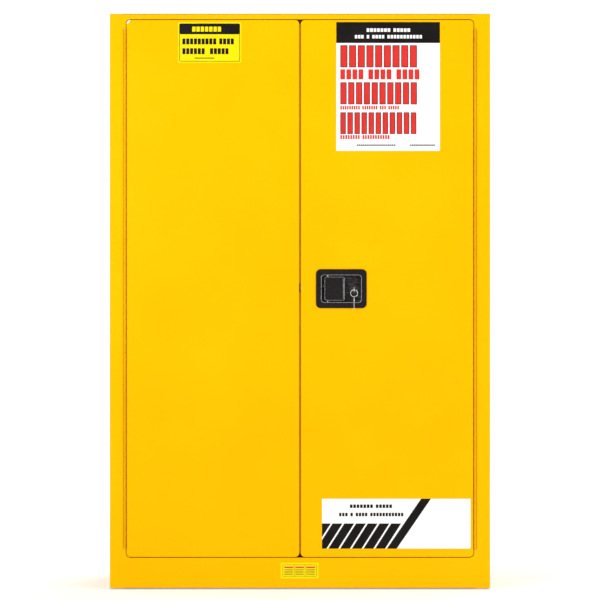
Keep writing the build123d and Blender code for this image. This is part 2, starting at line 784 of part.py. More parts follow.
def paddle_spring():
    """Torsion spring on the paddle's pin; one leg rests on the tray floor."""
    z = lever_high + 1.0
    coil = Pos(paddle_x, paddle_y, z) * Helix(spring_pitch, spring_pitch * spring_turns, spring_coil_r)
    wire = sweep(Plane(coil @ 0, z_dir=coil % 0) * Circle(spring_wire_r), path=coil, is_frenet=True)
    start = coil @ 0
    leg = rod(spring_wire_r, (start.X, start.Y, start.Z), (start.X, tray_floor, start.Z))
    return wire + leg


# ---------------------------------------------------------------- latch works
def latch_back_plate():
    """Plate behind the tray with the cam's boss and pivot."""
    plate = slab(tray_left, tray_left + tray_width, tray_low + 1, cam_z + 18, 6, plate_face, nut_face)
    plate -= latch_window()
    plate -= rod(lock_barrel_r + 0.15, (lock_x, plate_face - 1, lock_z), (lock_x, nut_face + 1, lock_z))
    plate += rod(cam_boss_r, (cam_x, nut_face, cam_z), (cam_x, works_front - 0.2, cam_z))
    return plate + rod(cam_pivot_r, (cam_x, nut_face, cam_z), (cam_x, works_back + 4, cam_z))


def cam_clip():
    """Spring clip that keeps the cam on its pivot."""
    y = works_back + 0.3
    clip = upright(Circle(8.0), cam_x, cam_z, y, y + 1.2)
    return clip - rod(cam_pivot_r, (cam_x, y - 1, cam_z), (cam_x, y + 3, cam_z))


def latch_cam():
    """Three-armed cam, drawn back: left arm for the top rod, right for the bottom rod, lower for the bolt."""
    arm, half = cam_arm, cam_bar / 2
    shape = Circle(cam_hub_r) + Rectangle(2 * arm, cam_bar)
    shape += Pos(-arm, 0) * Circle(half) + Pos(arm, 0) * Circle(half)
    shape += Pos(0, -cam_tail / 2) * Rectangle(cam_bar, cam_tail) + Pos(0, -cam_tail) * Circle(half)
    shape -= Circle(cam_pivot_r + plug_clearance)
    pin = Circle(rod_pin_r)
    pins = Pos(-arm, 0) * pin + Pos(arm, 0) * pin + Pos(0, -arm) * pin
    turn = Rot(0, 0, cam_half_swing_deg)
    cam = upright(turn * shape, cam_x, cam_z, works_front, works_back)
    return cam + upright(turn * pins, cam_x, cam_z, works_back, works_back + 4)


def eye_slot():
    """Slot that lets a cam pin drift sideways while it drives a rod."""
    width = 2 * (rod_pin_r + slot_play)
    return SlotOverall(width + 2 * pin_drift + slot_play, width)


def latch_rod(x, pin_z, up, tip_z):
    """Vertical rod with a flat eye. up is 1 for the top rod and -1 for the bottom rod."""
    eye_low, eye_high = sorted((pin_z - up * eye_half, pin_z + up * eye_length))
    bar = block(x - eye_half, x + eye_half, eye_front, eye_front + eye_plate, eye_low, eye_high)
    bar -= upright(eye_slot(), x, pin_z, eye_front - 1, eye_front + eye_plate + 1)
    shaft = rod(rod_r, (x, rod_y, pin_z + up * (eye_length - 3)), (x, rod_y, tip_z))
    ends = shaft.faces().sort_by(Axis.Z)
    return bar + chamfer(ends[-1 if up > 0 else 0].edges(), 1.5)


def centre_bolt():
    """Flat bolt that the cam's lower arm shoots across into the left door."""
    half = bolt_height / 2
    bolt = block(bolt_drawn_x, bolt_pin_x + eye_half, eye_front, eye_front + eye_plate,
                 bolt_z - half, bolt_z + half)
    bolt = chamfer(bolt.faces().sort_by(Axis.X)[0].edges().filter_by(Axis.Y), 3)
    return bolt - upright(Rot(0, 0, 90) * eye_slot(), bolt_pin_x, bolt_z, eye_front - 1,
                          eye_front + eye_plate + 1)


def rod_guides():
    """Blocks on the inner pan that keep the rods and the bolt in line."""
    guides = []
    hole = rod_r + guide_clearance
    places = [(top_rod_x, cam_z + upper_guide_up), (top_rod_x, door_top - top_guide_drop),
              (bottom_rod_x, cam_z - lower_guide_down), (bottom_rod_x, door_bottom + bottom_guide_rise)]
    for x, z in places:
        guide = block(x - guide_width / 2, x + guide_width / 2, rod_y - guide_front, pan_inner_face,
                      z, z + guide_length)
        guides.append(guide - rod(hole, (x, rod_y, z - 1), (x, rod_y, z + guide_length + 1)))
    x = pan_in + sheet + 8
    half = bolt_height / 2
    guide = block(x, x + guide_length, rod_y - guide_front, pan_inner_face,
                  bolt_z - half - 5, bolt_z + half + 5)
    guides.append(guide - block(x - 1, x + guide_length + 1, rod_y - eye_plate / 2 - guide_clearance,
                                rod_y + eye_plate / 2 + guide_clearance, bolt_z - half - guide_clearance,
                                bolt_z + half + guide_clearance))
    return guides


# ---------------------------------------------------------------- lock and keys
def lock_barrel():
    end = nut_face + nut_thick
    barrel = rod(lock_barrel_r, (lock_x, lock_front, lock_z), (lock_x, end, lock_z))
    barrel = fillet(barrel.faces().sort_by(Axis.Y)[0].edges(), 1.0)
    barrel += rod(lock_collar_r, (lock_x, tray_floor - lock_collar, lock_z), (lock_x, tray_floor, lock_z))
    return barrel - rod(plug_r + plug_clearance, (lock_x, lock_front - 1, lock_z), (lock_x, end + 1, lock_z))


def lock_nut():
    nut = upright(RegularPolygon(nut_flats_r, 6), lock_x, lock_z, nut_face, nut_face + nut_thick)
    return nut - rod(lock_barrel_r + 0.1, (lock_x, nut_face - 1, lock_z),
                     (lock_x, nut_face + nut_thick + 1, lock_z))


def lock_plug():
    """Turning plug with a keyway in front and a square drive behind."""
    half = drive_square / 2
    plug = rod(plug_r, (lock_x, lock_front, lock_z), (lock_x, tongue_face, lock_z))
    plug += block(lock_x - half, lock_x + half, tongue_face, tongue_face + tongue_thick + 1,
                  lock_z - half, lock_z + half)
    slot_x, slot_z = key_thick / 2 + 0.1, key_blade / 2 + 0.2
    return plug - block(lock_x - slot_x, lock_x + slot_x, lock_front - 1, lock_front + key_insert,
                        lock_z - slot_z, lock_z + slot_z)


def lock_tongue():
    """Bar on the plug; it hangs down when unlocked and lies behind the paddle's catch when locked."""
    half = tongue_width / 2
    shape = Pos(0, -tongue_length / 2) * Rectangle(tongue_width, tongue_length) + Circle(half + 2)
    shape -= Rectangle(drive_square, drive_square)
    return upright(shape, lock_x, lock_z, tongue_face, tongue_face + tongue_thick)


def bow(y, z, hole_y, hole_z):
    """Key bow in the YZ plane."""
    disc = rod(bow_r, (lock_x - key_thick / 2, y, z), (lock_x + key_thick / 2, y, z))
    return disc - rod(bow_hole_r, (lock_x - 5, hole_y, hole_z), (lock_x + 5, hole_y, hole_z))


def key():
    """Key in the lock."""
    half_x, half_z = key_thick / 2, key_blade / 2
    blade = block(lock_x - half_x, lock_x + half_x, bow_y, lock_front + key_insert,
                  lock_z - half_z, lock_z + half_z)
    blade -= rod(bow_r - 2, (lock_x - 5, bow_y, lock_z), (lock_x + 5, bow_y, lock_z))
    return bow(bow_y, lock_z, ring_y, lock_z) + blade


def key_ring():
    """Wire ring through the key's bow."""
    centre = (ring_top_z + ring_low_z) / 2
    return Pos(lock_x, ring_y, centre) * Rot(90, 0, 0) * Torus(ring_r, ring_wire_r)


def spare_key():
    """Second key, hanging edge-on from the ring."""
    z = spare_hole_z - bow_hole_offset
    half_x, half_y = key_thick / 2, key_blade / 2
    low = z - bow_r - spare_blade
    blade = block(lock_x - half_x, lock_x + half_x, ring_y - half_y, ring_y + half_y, low, z - bow_r + 2)
    notches = [rod(1.2, (lock_x - 5, ring_y - half_y, low + 4 + 4.5 * i),
                   (lock_x + 5, ring_y - half_y, low + 4 + 4.5 * i)) for i in range(4)]
    return bow(ring_y, z, ring_y, spare_hole_z) + (blade - notches)


def body_nodes():
    save("left_side_panel", side_panel(left_vent_z))
    save("right_side_panel", mirrored(side_panel(right_vent_z)))
    save("back_panel", back_panel())
    save("top_panel", top_panel())
    save("base_panel", base_panel())
    save("front_header", front_header())
    save("front_sill", front_sill())
    save("left_door_jamb", door_jamb())
    save("right_door_jamb", mirrored(door_jamb()))
    save("left_liner_panel", side_liner(left_vent_z))
    save("right_liner_panel", mirrored(side_liner(right_vent_z)))
    save("back_liner_panel", back_liner())
    save("ceiling_liner_panel", ceiling_liner())
    save("sump_pan", sump_pan())
    save("base_stiffeners", *base_stiffeners())
    save("frame_strike_plates", *frame_strikes())
    save("shelf_standards", *[shelf_standard(side, y) for side, y in standard_places()])
    save("shelf_clips", *[shelf_clip(side, y, slot) for slot in (lower_shelf_slot, upper_shelf_slot)
                          for side, y in standard_places()])
    save("lower_shelf", shelf(lower_shelf_slot))
    save("upper_shelf", shelf(upper_shelf_slot))


def fitting_nodes():
    save("vent_sockets", vent_socket(left_vent_z), mirrored(vent_socket(right_vent_z)))
    save("flame_arresters", flame_arrester(left_vent_z), mirrored(flame_arrester(right_vent_z)))
    save("left_vent_cap", vent_cap(left_vent_z))
    save("right_vent_cap", mirrored(vent_cap(right_vent_z)))
    save("ground_terminal", ground_terminal())
    save("foot_brackets", *[foot_bracket(x, y) for x, y in foot_places()])
    for name, (x, y) in zip(("front_left_foot", "front_right_foot", "rear_left_foot", "rear_right_foot"),
                            foot_places()):
        save(name, foot(x, y))


def door_nodes():
    save("left_hinge_frame_leaf", hinge_leaf(-1, 0))
    save("right_hinge_frame_leaf", mirrored(hinge_leaf(-1, 0)))
    save("left_hinge_door_leaf", hinge_leaf(1, 1))
    save("right_hinge_door_leaf", mirrored(hinge_leaf(1, 1)))
    save("hinge_pins", hinge_pin(), mirrored(hinge_pin()))
    save("left_door_skin", door_skin())
    save("right_door_skin", right_door_skin())
    save("left_door_inner_pan", left_door_inner_pan())
    save("right_door_inner_pan", right_door_inner_pan())
    save("left_door_astragal", astragal())
    save("left_door_strike", left_strike())
    save("latch_access_cover", access_cover())
    save("access_cover_screws", *cover_screws())


def latch_nodes():
    save("latch_tray", latch_tray())
    save("paddle_pin", paddle_pin())
    save("latch_paddle", latch_paddle())
    save("paddle_lever", paddle_lever())
    save("paddle_spring", paddle_spring())
    save("latch_back_plate", latch_back_plate(), cam_clip())
    save("latch_cam", latch_cam())
    save("top_latch_rod", latch_rod(top_rod_x, top_pin_z, 1, opening_top - rod_tip_gap))
    save("bottom_latch_rod", latch_rod(bottom_rod_x, bottom_pin_z, -1, sill_height + rod_tip_gap))
    save("centre_latch_bolt", centre_bolt())
    save("rod_guides", *rod_guides())
    save("lock_barrel", lock_barrel(), lock_nut())
    save("lock_plug", lock_plug())
    save("lock_tongue", lock_tongue())
    save("key", key())
    save("key_ring", key_ring())
    save("spare_key", spare_key())


if __name__ == "__main__":
    os.makedirs("parts", exist_ok=True)
    body_nodes()
    fitting_nodes()
    door_nodes()
    latch_nodes()
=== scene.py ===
"""Looks, light and camera for the flammable storage cabinet. Metres; +Z up, the doors face -Y."""

import json
from math import cos, pi, radians, sin

import bmesh
import bpy
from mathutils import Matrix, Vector


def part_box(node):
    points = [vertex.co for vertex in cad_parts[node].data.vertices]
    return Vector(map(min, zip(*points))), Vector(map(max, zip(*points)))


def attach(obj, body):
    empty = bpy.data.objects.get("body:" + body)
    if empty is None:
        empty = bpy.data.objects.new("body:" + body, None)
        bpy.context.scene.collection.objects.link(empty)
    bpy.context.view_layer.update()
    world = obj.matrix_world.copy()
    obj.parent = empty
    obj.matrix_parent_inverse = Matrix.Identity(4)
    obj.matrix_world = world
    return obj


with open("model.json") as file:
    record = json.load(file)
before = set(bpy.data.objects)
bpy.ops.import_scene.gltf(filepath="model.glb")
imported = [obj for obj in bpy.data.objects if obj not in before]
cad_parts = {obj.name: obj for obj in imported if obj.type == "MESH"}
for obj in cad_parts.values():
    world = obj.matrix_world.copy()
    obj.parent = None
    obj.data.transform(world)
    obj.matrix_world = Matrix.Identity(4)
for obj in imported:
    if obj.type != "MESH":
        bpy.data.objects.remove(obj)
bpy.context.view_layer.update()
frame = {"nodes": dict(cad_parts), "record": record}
scene = bpy.context.scene

door_face = -0.230                # y of the doors' front
tray_floor = (-0.2150, -0.2120)   # y where the latch tray's finger wear and painted streak reflections set in, and y where they are full

# ---------------------------------------------------------------- material helpers


def blank(name):
    """A new material and its Principled shader."""
    made = bpy.data.materials.new(name)
    made.use_nodes = True
    return made, made.node_tree.nodes["Principled BSDF"]


def place(tree, scale=(1, 1, 1)):
    """The object's own coordinates, stretched by scale."""
    coordinates = tree.nodes.new("ShaderNodeTexCoord")
    mapping = tree.nodes.new("ShaderNodeMapping")
    mapping.inputs["Scale"].default_value = scale
    tree.links.new(coordinates.outputs["Object"], mapping.inputs["Vector"])
    return mapping.outputs["Vector"]


def noise(tree, size, detail=2.0, roughness=0.5, distortion=0.0, stretch=(1, 1, 1)):
    """Noise with features about size metres across; stretch above 1 lengthens them along that axis."""
    made = tree.nodes.new("ShaderNodeTexNoise")
    made.inputs["Scale"].default_value = 1.0 / size
    made.inputs["Detail"].default_value = detail
    made.inputs["Roughness"].default_value = roughness
    made.inputs["Distortion"].default_value = distortion
    vector = place(tree, tuple(1.0 / s for s in stretch))
    tree.links.new(vector, made.inputs["Vector"])
    return made.outputs["Fac"]


def ramp(tree, source, *stops):
    """A colour ramp through (place, colour) stops."""
    made = tree.nodes.new("ShaderNodeValToRGB")
    elements = made.color_ramp.elements
    while len(elements) < len(stops):
        elements.new(0.5)
    for element, (at, colour) in zip(elements, stops):
        element.position = at
        element.color = (*colour, 1.0)
    tree.links.new(source, made.inputs["Fac"])
    return made.outputs["Color"]


def spread(tree, source, low, high, from_low=0.3, from_high=0.7):
    """Source's middle range turned into low to high."""
    made = tree.nodes.new("ShaderNodeMapRange")
    made.inputs["From Min"].default_value = from_low
    made.inputs["From Max"].default_value = from_high
    made.inputs["To Min"].default_value = low
    made.inputs["To Max"].default_value = high
    tree.links.new(source, made.inputs["Value"])
    return made.outputs["Result"]


def blend_colour(tree, share, first, second):
    """First and second colour, mixed by the share socket; each is a colour or a socket."""
    made = tree.nodes.new("ShaderNodeMix")
    made.data_type = "RGBA"
    sockets = [s for s in made.inputs if s.type == "RGBA"]
    for socket, value in zip(sockets, (first, second)):
        if isinstance(value, bpy.types.NodeSocket):
            tree.links.new(value, socket)
        else:
            socket.default_value = (*value, 1.0)
    tree.links.new(share, made.inputs["Factor"])
    return next(s for s in made.outputs if s.type == "RGBA")


def bump(tree, height, depth, under=None):
    """A bump of that depth in metres, on top of another where one is given."""
    made = tree.nodes.new("ShaderNodeBump")
    made.inputs["Distance"].default_value = depth
    made.inputs["Strength"].default_value = 1.0
    tree.links.new(height, made.inputs["Height"])
    if under is not None:
        tree.links.new(under, made.inputs["Normal"])
    return made.outputs["Normal"]


def edge_mask(tree, radius):
    """About 1 on outer and inner edges within radius, 0 on flat faces."""
    turned, flat = 0.84, 0.996               # cosines between the rounded and the true normal
    rounded = tree.nodes.new("ShaderNodeBevel")
    rounded.samples = 4
    rounded.inputs["Radius"].default_value = radius
    geometry = tree.nodes.new("ShaderNodeNewGeometry")
    dot = tree.nodes.new("ShaderNodeVectorMath")
    dot.operation = "DOT_PRODUCT"
    tree.links.new(rounded.outputs["Normal"], dot.inputs[0])
    tree.links.new(geometry.outputs["Normal"], dot.inputs[1])
    return spread(tree, dot.outputs["Value"], 1.0, 0.0, turned, flat)


def crevice(tree, distance, low=0.35, high=0.9):
    """0 in narrow gaps and corners, where shade falls, 1 in the open; it masks painted shade."""
    made = tree.nodes.new("ShaderNodeAmbientOcclusion")
    made.samples = 6
    made.inputs["Distance"].default_value = distance
    return spread(tree, made.outputs["AO"], 0.0, 1.0, low, high)


def times(tree, first, second):
    """The product of two sockets."""
    made = tree.nodes.new("ShaderNodeMath")
    made.operation = "MULTIPLY"
    tree.links.new(first, made.inputs[0])
    tree.links.new(second, made.inputs[1])
    return made.outputs["Value"]


def join(tree, socket, shader, name):
    """The socket drives that input of the shader."""
    tree.links.new(socket, shader.inputs[name])


def coat(node, material):
    """The material becomes a CAD node's only one."""
    slots = frame["nodes"][node].data.materials
    slots.clear()
    slots.append(material)


def mesh_object(name, bm, materials):
    """A new object made of the bmesh, which is freed."""
    mesh = bpy.data.meshes.new(name)
    bm.to_mesh(mesh)
    bm.free()
    for material in materials:
        mesh.materials.append(material)
    made = bpy.data.objects.new(name, mesh)
    scene.collection.objects.link(made)
    return made


# ---------------------------------------------------------------- materials


def powder_coat(name, colour, deep, pale):
    """Baked powder coat: faint orange peel, slight drift of colour, painted shade in creases and in
    narrow gaps.
    """
    made, shader = blank(name)
    tree = made.node_tree
    drift = noise(tree, 0.35, 3.0, 0.55)
    base = ramp(tree, drift, (0.30, deep), (0.52, colour), (0.75, pale))
    fine = noise(tree, 0.012, 4.0, 0.6)
    base = blend_colour(tree, spread(tree, fine, 0.0, 0.05), base, deep)
    # painted shade: occlusion darkens creases and seams to a deep brown, and narrow gaps nearly to black
    crease_shade = blend_colour(tree, crevice(tree, 0.007), (deep[0] * 0.40, deep[1] * 0.27, 0.0), base)
    gap_shade = blend_colour(tree, crevice(tree, 0.012, 0.16, 0.42), (0.055, 0.020, 0.0), crease_shade)
    join(tree, gap_shade, shader, "Base Color")
    smudge = noise(tree, 0.09, 5.0, 0.62, 0.4)
    join(tree, spread(tree, smudge, 0.30, 0.42), shader, "Roughness")
    peel = noise(tree, 0.0022, 2.0, 0.45)
    wave = noise(tree, 0.055, 1.0, 0.4)
    under = bump(tree, wave, 0.00025)
    join(tree, bump(tree, peel, 0.00006, under=under), shader, "Normal")
    shader.inputs["Specular IOR Level"].default_value = 0.26
    shader.inputs["Specular Tint"].default_value = (1.0, 0.72, 0.10, 1.0)
    return made


def scratches_and_reflections(tree, from_y, to_y):
    """Level grey streaks that set in from from_y back to to_y: finger scratches, partly painted
    reflections of the finger well.
    """
    where = tree.nodes.new("ShaderNodeSeparateXYZ")
    tree.links.new(place(tree), where.inputs["Vector"])
    inside = spread(tree, where.outputs["Y"], 0.0, 1.0, from_y, to_y)
    streaks = noise(tree, 0.0016, 3.0, 0.6, stretch=(16, 1, 1))
    patch = noise(tree, 0.022, 2.0, 0.5)
    lines = spread(tree, streaks, 0.0, 1.0, 0.50, 0.66)
    marks = times(tree, lines, spread(tree, patch, 0.15, 1.0, 0.42, 0.60))
    return times(tree, inside, marks)


def black_enamel(name="black_enamel_satin", with_streak_reflections=False):
    """Satin black over pressed steel, with a patchy greyer band along its edges that is a painted
    highlight.
    """
    made, shader = blank(name)
    tree = made.node_tree
    drift = noise(tree, 0.03, 4.0, 0.6)
    base = ramp(tree, drift, (0.3, (0.0045, 0.0028, 0.0032)), (0.7, (0.010, 0.0068, 0.0074)))
    if with_streak_reflections:
        # finger wear and painted reflection: level grey streaks in the tray's well
        base = blend_colour(tree, scratches_and_reflections(tree, *tray_floor), base, (0.115, 0.112, 0.115))
    # painted highlight: edges within about a millimetre turn grey in patches
    highlight_patches = noise(tree, 0.004, 3.0, 0.7)
    edge = edge_mask(tree, 0.0009)
    base = blend_colour(tree, times(tree, edge, spread(tree, highlight_patches, 0.15, 0.6)), base, (0.16, 0.15, 0.15))
    join(tree, base, shader, "Base Color")
    join(tree, spread(tree, noise(tree, 0.012, 4.0), 0.24, 0.38), shader, "Roughness")
    join(tree, bump(tree, noise(tree, 0.0011, 2.0), 0.00004), shader, "Normal")
    shader.inputs["Specular IOR Level"].default_value = 0.22
    return made


def galvanised():
    """Zinc-coated sheet: spangle of flat crystals, each its own tone and gloss, with a few rub marks."""
    made, shader = blank("galvanised_sheet")
    tree = made.node_tree
    crystals = tree.nodes.new("ShaderNodeTexVoronoi")
    crystals.inputs["Scale"].default_value = 95.0
    crystals.inputs["Randomness"].default_value = 1.0
    tree.links.new(place(tree), crystals.inputs["Vector"])
    tone = tree.nodes.new("ShaderNodeSeparateColor")
    tree.links.new(crystals.outputs["Color"], tone.inputs["Color"])
    base = ramp(tree, tone.outputs["Red"], (0.0, (0.47, 0.50, 0.53)), (0.55, (0.62, 0.64, 0.66)),
                (1.0, (0.74, 0.76, 0.77)))
    scuff = noise(tree, 0.03, 6.0, 0.7, stretch=(4, 1, 1))
    base = blend_colour(tree, spread(tree, scuff, 0.0, 0.18, 0.5, 0.8), base, (0.40, 0.41, 0.42))
    join(tree, base, shader, "Base Color")
    join(tree, spread(tree, tone.outputs["Green"], 0.34, 0.56, 0.0, 1.0), shader, "Roughness")
    join(tree, bump(tree, tone.outputs["Blue"], 0.00002), shader, "Normal")
    shader.inputs["Metallic"].default_value = 1.0
    return made


def brushed(name, dark, light, rough=(0.22, 0.36), stretch=(1, 1, 60), grain=0.0009, edge_highlight=None):
    """Plated or drawn metal with a grain along one axis, small stains, and edges painted brighter as a
    painted highlight where given.
    """
    made, shader = blank(name)
    tree = made.node_tree
    lines = noise(tree, grain, 3.0, 0.6, stretch=stretch)
    base = ramp(tree, lines, (0.35, dark), (0.65, light))
    stain = noise(tree, 0.018, 5.0, 0.65, 0.6)
    stained = tuple(c * 0.7 for c in dark)
    base = blend_colour(tree, spread(tree, stain, 0.0, 0.22, 0.52, 0.78), base, stained)
    if edge_highlight:
        # painted highlight: lighter edges where the bevel turns
        base = blend_colour(tree, edge_mask(tree, 0.0006), base, edge_highlight)
    join(tree, base, shader, "Base Color")
    join(tree, spread(tree, stain, *rough), shader, "Roughness")
    join(tree, bump(tree, lines, 0.00002), shader, "Normal")
    shader.inputs["Metallic"].default_value = 1.0
    return made


def printed(name, colour, other, rough=0.32, gloss=0.3):
    """Vinyl film or the ink on it: even colour with a faint print screen and a slow sheen change."""
    made, shader = blank(name)
    tree = made.node_tree
    base = ramp(tree, noise(tree, 0.05, 3.0, 0.5), (0.3, colour), (0.7, other))
    screen = tuple(c * 0.8 for c in colour)
    base = blend_colour(tree, spread(tree, noise(tree, 0.0012, 1.0), 0.0, 0.06), base, screen)
    join(tree, base, shader, "Base Color")
    join(tree, spread(tree, noise(tree, 0.03, 4.0, 0.6), rough - 0.05, rough + 0.08), shader, "Roughness")
    join(tree, bump(tree, noise(tree, 0.02, 2.0), 0.00006), shader, "Normal")
    shader.inputs["Specular IOR Level"].default_value = gloss
    return made


finishes = {
    "yellow_enamel": powder_coat("yellow_powder_coat", (0.93, 0.478, 0.0), (0.91, 0.458, 0.0),
                                 (0.95, 0.497, 0.001)),
    "black_enamel": black_enamel(),
    "galvanised_steel": galvanised(),
    "plated_steel": brushed("zinc_plated_steel", (0.56, 0.57, 0.57), (0.74, 0.74, 0.72),
                            edge_highlight=(0.86, 0.86, 0.84)),
    "nickel": brushed("bright_nickel", (0.66, 0.64, 0.60), (0.84, 0.83, 0.79), (0.10, 0.20),
                      (1, 1, 12), 0.0006),
    "brass": brushed("satin_brass", (0.60, 0.42, 0.16), (0.80, 0.60, 0.27), (0.26, 0.40),
                     (1, 1, 6), 0.0012),
    "dark_steel": brushed("blackened_steel", (0.030, 0.031, 0.034), (0.075, 0.077, 0.082),
                          (0.34, 0.52), (1, 1, 4), 0.0016, edge_highlight=(0.20, 0.20, 0.21)),
}
for part in frame["record"]["subparts"]:
    coat(part["node"], finishes[part["material_slot"]])

coat("latch_tray", black_enamel("black_enamel_worn_and_reflecting", True))
# painted shade: the hinges get a deeper copy of the yellow, so their barrels read as the shaded lines
# between knuckles
hinge_shade_coat = powder_coat("yellow_hinge_shade", (0.80, 0.37, 0.0), (0.74, 0.32, 0.0), (0.84, 0.40, 0.001))
for side in ("left", "right"):
    for leaf in ("frame", "door"):
        coat(f"{side}_hinge_{leaf}_leaf", hinge_shade_coat)
# painted highlight: a pale grey metal for the latch's rim beads, lighter than the black enamel they edge
rim_highlight_metal = brushed("grey_rim_highlight", (0.20, 0.19, 0.195), (0.44, 0.43, 0.44), (0.16, 0.30),
                 (1, 1, 3), 0.0022)
# painted highlight: the pale crescent on the left door's top corner
highlight_crescent_coat = printed("pale_highlight_crescent", (0.93, 0.84, 0.72), (0.96, 0.90, 0.82), 0.30, 0.4)

# ---------------------------------------------------------------- labels

film_white = printed("film_white", (0.90, 0.90, 0.90), (0.93, 0.93, 0.93))
film_yellow = printed("film_lemon", (0.86, 0.68, 0.0), (0.90, 0.72, 0.001), 0.34, 0.10)
ink_black = printed("ink_black", (0.006, 0.0045, 0.0045), (0.011, 0.009, 0.0085), 0.38, 0.09)
ink_red = printed("ink_red", (0.62, 0.022, 0.018), (0.68, 0.030, 0.024), 0.36, 0.2)
ink_grey = printed("ink_grey", (0.055, 0.055, 0.006), (0.075, 0.075, 0.009), 0.40, 0.12)
ink_olive = printed("ink_olive", (0.27, 0.22, 0.01), (0.34, 0.28, 0.015), 0.40, 0.12)

film = 0.00030               # thickness of a label's film
ink = 0.00008                # thickness of one print on it
film_rim = 0.00012           # how far the front rim of each is drawn in
ink_rim = 0.00004


def rounded_rect(left, right, low, high, radius, steps=7):
    """Corner points in x and z, counter-clockwise as seen from the front."""
    points = []
    for x, z, start in ((right - radius, low + radius, -pi / 2), (right - radius, high - radius, 0.0),
                        (left + radius, high - radius, pi / 2), (left + radius, low + radius, pi)):
        for k in range(steps + 1):
            angle = start + pi / 2 * k / steps
            points.append((x + radius * cos(angle), z + radius * sin(angle)))
    return points


def inset(points, by):
    """The outline pulled in towards its middle by about that much on every side."""
    mid_x = sum(p[0] for p in points) / len(points)
    mid_z = sum(p[1] for p in points) / len(points)
    half_x = max(p[0] for p in points) - mid_x
    half_z = max(p[1] for p in points) - mid_z
    share_x, share_z = 1 - by / half_x, 1 - by / half_z
    return [(mid_x + (x - mid_x) * share_x, mid_z + (z - mid_z) * share_z) for x, z in points]


def lay(bm, points, behind, face_y, slot_number, rim):
    """A thin film from y behind out to face_y, its front rim eased."""
    outer = [bm.verts.new((x, behind, z)) for x, z in points]
    inner = [bm.verts.new((x, face_y, z)) for x, z in inset(points, rim)]
    count = len(points)
    for k in range(count):
        after = (k + 1) % count
        bm.faces.new((outer[k], outer[after], inner[after], inner[k])).material_index = slot_number
    bm.faces.new(inner).material_index = slot_number
    bm.faces.new(list(reversed(outer))).material_index = slot_number


def label(name, body, outline, prints, materials):
    """A film with prints on it. prints holds (outline, layer, slot number)."""
    bm = bmesh.new()
    lay(bm, outline, door_face, door_face - film, 0, film_rim)
    for points, layer, slot_number in prints:
        behind = door_face - film - ink * (layer - 1)
        lay(bm, points, behind, door_face - film - ink * layer, slot_number, ink_rim)
    bmesh.ops.recalc_face_normals(bm, faces=bm.faces)
    piece = mesh_object(name, bm, materials)
    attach(piece, body)
    return piece


def plain_rect(left, right, low, high):
    """The four corners, with no rounding."""
    return [(left, low), (right, low), (right, high), (left, high)]


def slanted(left, right, low, high, lean):
    """A bar that leans right by lean metres from its foot to its top."""
    return [(left, low), (right, low), (right + lean, high), (left + lean, high)]


def clipped(points, left):
    """The outline's part right of left; it needs to stay convex."""
    out = []
    for k, (x, z) in enumerate(points):
        before_x, before_z = points[k - 1]
        if (x >= left) != (before_x >= left):
            share = (left - before_x) / (x - before_x)
            out.append((left, before_z + share * (z - before_z)))
        if x >= left:
            out.append((x, z))
    return out


def blocks(left, low, high, widths, gap, radius=0.0012):
    """A row of plain upright blocks; None leaves a wider space."""
    row = []
    for wide in widths:
        if wide is None:
            left += gap * 3
            continue
        row.append(rounded_rect(left, left + wide, low, high, min(radius, wide * 0.45), 3))
        left += wide + gap
    return row


def grouped(groups, wide):
    """Block widths for blocks(): that many of one width in each group, with a space after it."""
    widths = []
    for count in groups:
        widths += [wide] * count + [None]
    return widths


def as_prints(outlines, layer, slot_number):
    """The outlines as prints for label()."""
    return [(outline, layer, slot_number) for outline in outlines]


def framed(left, right, low, high, margin, radius):
    """A rounded rectangle that stands in from the given one by margin."""
    return rounded_rect(left + margin, right - margin, low + margin, high - margin, radius)


def title_rows(rows, gap, layer, slot_number):
    """Prints for rows of small blocks; rows holds (start, foot, groups, width of one block)."""
    tall, corner = 0.010, 0.0008
    prints = []
    for start, foot, groups, wide in rows:
        row = blocks(start, foot, foot + tall, grouped(groups, wide), gap, corner)
        prints += as_prints(row, layer, slot_number)
    return prints


def upper_left_label():
    """Lemon plate: black band over two rows of plain blocks, inside a thin border."""
    left, right, low, high = -0.350, -0.168, 1.509, 1.626
    outline = rounded_rect(left, right, low, high, 0.004)
    border, field, wide = 0.004, 0.0055, 0.0088
    prints = [
        (framed(left, right, low, high, border, 0.004), 1, 1),
        (framed(left, right, low, high, field, 0.003), 2, 0),
        (rounded_rect(left + field, right - field, high - 0.035, high - field, 0.003), 3, 1),
    ]
    tall = 0.017
    for foot, widths in ((high - 0.064, [wide] * 9 + [None] + [wide] * 4),
                         (high - 0.092, [wide] * 6 + [None, None] + [wide] * 5)):
        prints += as_prints(blocks(left + 0.013, foot, foot + tall, widths, 0.0022), 3, 1)
    prints.append((plain_rect(left + 0.048, left + 0.104, low + 0.0125, low + 0.0150), 3, 1))
    band = blocks(left + 0.041, high - 0.0275, high - 0.0130, [0.0096] * 7, 0.0026)
    prints += as_prints(band, 4, 0)
    label("upper_left_label", "left_door", outline, prints, [film_yellow, ink_black])


